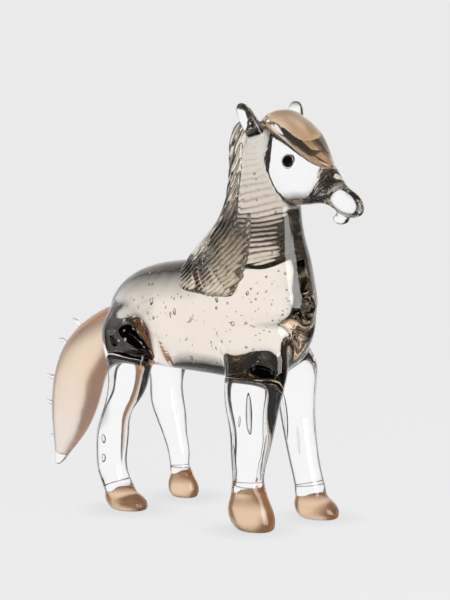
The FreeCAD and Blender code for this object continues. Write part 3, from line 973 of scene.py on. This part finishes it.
@dataclass
class Mane:
    """One combed lobe of tinted glass, ridged along its strands.

    Attributes:
        side: side of the neck.
        grid: fine grid round the lobe.
        neck: distance to neck, barrel and head on that grid.
        step: spacing of the strands, measured forward, in metres.
        ridge: height of the ridges in metres.
        slope: climb of the strands at the shoulder and at the crest.
    """

    side: Side
    grid: Grid
    neck: np.ndarray
    step: float
    ridge: float
    slope: tuple[float, float]

    def strands(self, points: np.ndarray) -> np.ndarray:
        """Which strand each point lies on.

        A strand climbs forward at a slope that grows evenly with height, so its path is the
        logarithm of the slope over the growth; a slow wave crimps it.

        Args:
            points: vertices in metres.
        Returns:
            Strand coordinate, one unit for each strand.
        """
        forward, up = -points[:, 1] - CENTRE_SHIFT, points[:, 2]
        low, high = self.slope
        growth = (high - low) / 0.060
        climb = np.maximum(low + growth * (up - 0.112), 0.5 * low)
        along = np.log(climb) / growth - forward
        crimp = 0.28 * MM * np.sin(forward / (2.6 * MM) + up / (1.9 * MM))
        return (along + crimp) / self.step

    def curl(self) -> np.ndarray:
        """A rolled lip that hangs down the front edge of the near lobe.

        Returns:
            Distance field of a chain of tapered rods.
        """
        # forward, side, height, radius in millimetres
        chain = ((28.6, -13.0, 143.0, 1.0), (29.8, -16.4, 134.0, 2.0), (30.0, -19.4, 125.0, 2.6),
                 (29.0, -22.0, 116.5, 2.6), (25.6, -22.8, 110.0, 2.0), (20.0, -21.8, 107.0, 1.2))
        x, y, z = self.grid.axes()
        total = np.full(self.grid.shape, self.grid.band, np.float32)
        for start, end in zip(chain[:-1], chain[1:]):
            a = np.array([start[1], -start[0], start[2]]) * MM - (0, CENTRE_SHIFT, 0)
            b = np.array([end[1], -end[0], end[2]]) * MM - (0, CENTRE_SHIFT, 0)
            d = b - a
            t = ((x - a[0]) * d[0] + (y - a[1]) * d[1] + (z - a[2]) * d[2]) / (d @ d)
            t = np.clip(t, 0, 1)
            gap = np.sqrt((x - a[0] - t * d[0]) ** 2 + (y - a[1] - t * d[1]) ** 2
                          + (z - a[2] - t * d[2]) ** 2)
            total = smooth_min(total, gap - (start[3] + t * (end[3] - start[3])) * MM, 1.0 * MM)
        return total

    def build(self) -> bpy.types.Object:
        """Make the lobe, sunk a little into the neck where they are fused.

        Returns:
            The new piece.
        """
        g = self.grid
        node = "mane_" + self.side.name.lower()
        lobe = blur(g.distance([node]), 1)
        lobe = lobe - 1.1 * MM * np.clip(1 - self.neck / (1.6 * MM), 0, 1)
        if self.side is Side.RIGHT:
            _, y, z = g.axes()
            front = 22 * MM + 14 * MM * (1 - ramp(z, 0.124, 0.142))
            lobe = -smooth_min(-lobe, y + CENTRE_SHIFT + front, 2 * MM)
            lobe = -smooth_min(-lobe, z - 104 * MM, 5 * MM)
            lobe = smooth_min(lobe, self.curl(), 1.2 * MM)
        points, quads = g.surface(lobe)
        slope = np.stack(np.gradient(lobe, g.voxel), -1)
        normal = g.at(slope, points)
        normal /= np.linalg.norm(normal, axis=1, keepdims=True) + 1e-9
        strand = self.strands(points)
        height = np.abs(np.sin(np.pi * strand)) ** 0.8
        free = ramp(g.at(self.neck, points), 0.2 * MM, 1.4 * MM)
        points = points + normal * ((height - 0.6) * self.ridge * free)[:, None]
        piece = add_piece(node + "_lobe", [(points, quads)], [node])
        # The ridge height, kept for the painted shade that darkens the grooves between strands.
        layer = piece.data.attributes.new("ridge", "FLOAT", "POINT")
        layer.data.foreach_set("value", (1 - (1 - height) * free).astype(np.float32))
        return piece

    def dress(self, piece: bpy.types.Object) -> None:
        """Give the lobe its combed glass.

        Args:
            piece: the lobe.
        """
        # Both lobes carry painted shade in the grooves between strands, the right one much darker.
        if self.side is Side.RIGHT:
            finish = CombedGlass()
        else:
            finish = CombedGlass(valley_tint_and_shade=(0.80, 0.70, 0.58), ridge=(0.97, 0.93, 0.87))
        piece.data.materials.append(finish.build(piece.name + "_glass"))


# ------------------------------------------------------------------ studio
@dataclass
class Studio:
    """Camera, pale floor, lit backdrop and a tall softbox.

    Attributes:
        azimuth: where the camera stands, in degrees.
        elevation: how high it looks from, in degrees.
        distance: how far it stands, in metres.
        lens: focal length in millimetres.
        pale: brightness of the plain backdrop.
        dim: brightness of the room beside and behind the camera.
        half_width: cosine of the half angle of the lit backdrop, outer and inner edge.
        top: sine of the height of the lit backdrop, outer and inner edge.
        ground: sine of the drop at which the lit table fades out, outer and inner edge.
        table: brightness of the table away from the lit backdrop.
        table_edge: sine of the drop where that table is full, and where it begins.
    """

    azimuth: float = -50.0
    elevation: float = 7.5
    distance: float = 1.5
    lens: float = 194.4
    pale: float = 0.847
    dim: float = 0.03
    half_width: tuple[float, float] = (0.52, 0.66)
    top: tuple[float, float] = (0.76, 0.36)
    ground: tuple[float, float] = (-0.86, -0.29)
    table: float = 0.10
    table_edge: tuple[float, float] = (-0.28, -0.12)

    def toward(self, azimuth: float, elevation: float) -> Vector:
        """Direction from the horse to a place around it.

        Args:
            azimuth: degrees, 0 in front of the horse and 90 on its left.
            elevation: degrees above the floor.
        Returns:
            Unit vector.
        """
        az, el = math.radians(azimuth), math.radians(elevation)
        return Vector((math.sin(az) * math.cos(el), -math.cos(az) * math.cos(el), math.sin(el)))

    def camera(self) -> None:
        """Stand the camera at its place and look at the middle of the horse."""
        back = self.toward(self.azimuth, self.elevation)
        az = math.radians(self.azimuth)
        right = Vector((math.cos(az), math.sin(az), 0))
        target = right * 0.0026 + Vector((0, -CENTRE_SHIFT, 0.1003))
        data = bpy.data.cameras.new("camera")
        data.lens, data.sensor_width = self.lens, 36
        data.clip_start, data.clip_end = 0.05, 100
        camera = bpy.data.objects.new("camera", data)
        camera.location = target + back * self.distance
        camera.rotation_mode = "QUATERNION"
        camera.rotation_quaternion = (-back).to_track_quat("-Z", "Y")
        bpy.context.scene.collection.objects.link(camera)
        bpy.context.scene.camera = camera
        bpy.context.scene.view_settings.view_transform = "Standard"

    def floor(self) -> None:
        """Lay a wide pale floor with faint shade under the hooves.

        The glass looks past it to the room's own lit table, so that the two match everywhere.
        """
        size = 20.0
        mesh = bpy.data.meshes.new("floor")
        mesh.from_pydata([(-size, -size, 0), (size, -size, 0), (size, size, 0), (-size, size, 0)],
                         [], [(0, 1, 2, 3)])
        floor = bpy.data.objects.new("floor", mesh)
        bpy.context.scene.collection.objects.link(floor)
        material = bpy.data.materials.new("floor")
        material.use_nodes = True
        tree = material.node_tree
        shader = tree.nodes["Principled BSDF"]
        shader.inputs["Base Color"].default_value = (0.06, 0.06, 0.06, 1)
        shader.inputs["Roughness"].default_value = 1.0
        shader.inputs["Specular IOR Level"].default_value = 0.0
        shader.inputs["Emission Color"].default_value = (1, 1, 1, 1)
        coords = tree.nodes.new("ShaderNodeTexCoord")
        shade = None
        for side, forward in ((-21, 37), (21, 42), (-20, -39), (20, -39)):
            gap = tree.nodes.new("ShaderNodeVectorMath")
            gap.operation = "DISTANCE"
            gap.inputs[1].default_value = (side * MM, -forward * MM - CENTRE_SHIFT, 0)
            tree.links.new(coords.outputs["Object"], gap.inputs[0])
            spot = spread(tree, gap.outputs["Value"], 0.003, 0.026, 0.86, 1.0)
            if shade is None:
                shade = spot
                continue
            darker = tree.nodes.new("ShaderNodeMath")
            darker.operation = "MULTIPLY"
            tree.links.new(shade, darker.inputs[0])
            tree.links.new(spot, darker.inputs[1])
            shade = darker.outputs[0]
        seen = spread(tree, shade, 0.0, 1.0, 0.0, 0.815)
        tree.links.new(seen, shader.inputs["Emission Strength"])
        for rays in ("diffuse", "glossy", "transmission", "volume_scatter", "shadow"):
            setattr(floor, "visible_" + rays, False)
        mesh.materials.append(material)

    def backdrop(self) -> None:
        """Light the room: bright behind the horse up to a height, dim elsewhere."""
        world = bpy.data.worlds.new("world")
        bpy.context.scene.world = world
        world.use_nodes = True
        tree = world.node_tree
        plain = tree.nodes["Background"]
        plain.inputs["Color"].default_value = (self.pale, self.pale, self.pale, 1)
        room = tree.nodes.new("ShaderNodeBackground")
        coords = tree.nodes.new("ShaderNodeTexCoord")
        level = tree.nodes.new("ShaderNodeVectorMath")
        level.operation = "MULTIPLY"
        level.inputs[1].default_value = (1, 1, 0)
        tree.links.new(coords.outputs["Generated"], level.inputs[0])
        heading = tree.nodes.new("ShaderNodeVectorMath")
        heading.operation = "NORMALIZE"
        tree.links.new(level.outputs["Vector"], heading.inputs[0])
        facing = tree.nodes.new("ShaderNodeVectorMath")
        facing.operation = "DOT_PRODUCT"
        facing.inputs[1].default_value = -self.toward(self.azimuth, 0)
        tree.links.new(heading.outputs["Vector"], facing.inputs[0])
        split = tree.nodes.new("ShaderNodeSeparateXYZ")
        tree.links.new(coords.outputs["Generated"], split.inputs[0])
        above = spread(tree, split.outputs["Z"], *self.top)
        below = spread(tree, split.outputs["Z"], *self.ground)
        upright = tree.nodes.new("ShaderNodeMath")
        upright.operation = "MULTIPLY"
        tree.links.new(above, upright.inputs[0])
        tree.links.new(below, upright.inputs[1])
        around = tree.nodes.new("ShaderNodeMath")
        around.operation = "MAXIMUM"
        tree.links.new(spread(tree, facing.outputs["Value"], *self.half_width), around.inputs[0])
        tree.links.new(spread(tree, split.outputs["Z"], *self.table_edge, self.table, 0.0),
                       around.inputs[1])
        both = tree.nodes.new("ShaderNodeMath")
        both.operation = "MULTIPLY"
        tree.links.new(around.outputs[0], both.inputs[0])
        tree.links.new(upright.outputs[0], both.inputs[1])
        color = blend_color(tree, both.outputs[0], (self.dim, self.dim * 0.93, self.dim * 0.87),
                            (1.0, 1.0, 1.0))
        tree.links.new(color, room.inputs["Color"])
        path = tree.nodes.new("ShaderNodeLightPath")
        choose = tree.nodes.new("ShaderNodeMixShader")
        tree.links.new(path.outputs["Is Camera Ray"], choose.inputs[0])
        tree.links.new(room.outputs[0], choose.inputs[1])
        tree.links.new(plain.outputs[0], choose.inputs[2])
        tree.links.new(choose.outputs[0], tree.nodes["World Output"].inputs["Surface"])

    def lamp(self, name: str, azimuth: float, elevation: float, width: float, height: float,
             watts: float) -> None:
        """Hang one softbox that faces the horse.

        Args:
            name: lamp name.
            azimuth: where it stands, in degrees.
            elevation: how high, in degrees.
            width: its width in metres.
            height: its height in metres.
            watts: its power.
        """
        data = bpy.data.lights.new(name, "AREA")
        data.shape = "RECTANGLE"
        data.size, data.size_y, data.energy = width, height, watts
        toward = self.toward(azimuth, elevation)
        lamp = bpy.data.objects.new(name, data)
        lamp.location = Vector((0, 0, 0.1)) + toward * 0.9
        lamp.rotation_mode = "QUATERNION"
        lamp.rotation_quaternion = (-toward).to_track_quat("-Z", "Y")
        lamp.visible_camera = False
        lamp.visible_transmission = False
        bpy.context.scene.collection.objects.link(lamp)

    def build(self) -> None:
        """Set up the whole studio."""
        self.camera()
        self.floor()
        self.backdrop()
        self.lamp("softbox", -2.0, 14.0, 0.5, 0.75, 7.0)


def main() -> None:
    """Build the horse piece by piece, then the studio."""
    logging.basicConfig(level=logging.INFO)
    whole = Grid(0.95 * MM, (-0.036, -0.101, -0.004), (0.036, 0.1, 0.198))
    crystal = Crystal(whole, Bubbles())
    crystal.dress(crystal.build())
    fine = Grid(0.45 * MM, (-0.032, -0.052, 0.09), (0.03, 0.02, 0.192), 4 * MM)
    hearts = Hearts(whole)
    hearts.dress(hearts.build())
    for part in (TailWisps(), Forelock(whole), Eyes()):
        part.dress(part.build())
    neck = fine.distance(named("neck_", "barrel_", "head"))
    for side, step, ridge, slope in ((Side.RIGHT, 3.4 * MM, 1.0 * MM, (0.78, 2.0)),
                                     (Side.LEFT, 5.2 * MM, 0.42 * MM, (0.40, 0.65))):
        lobe = Mane(side, fine, neck, step, ridge, slope)
        lobe.dress(lobe.build())
    Studio().build()


if __name__ == "__main__":
    main()
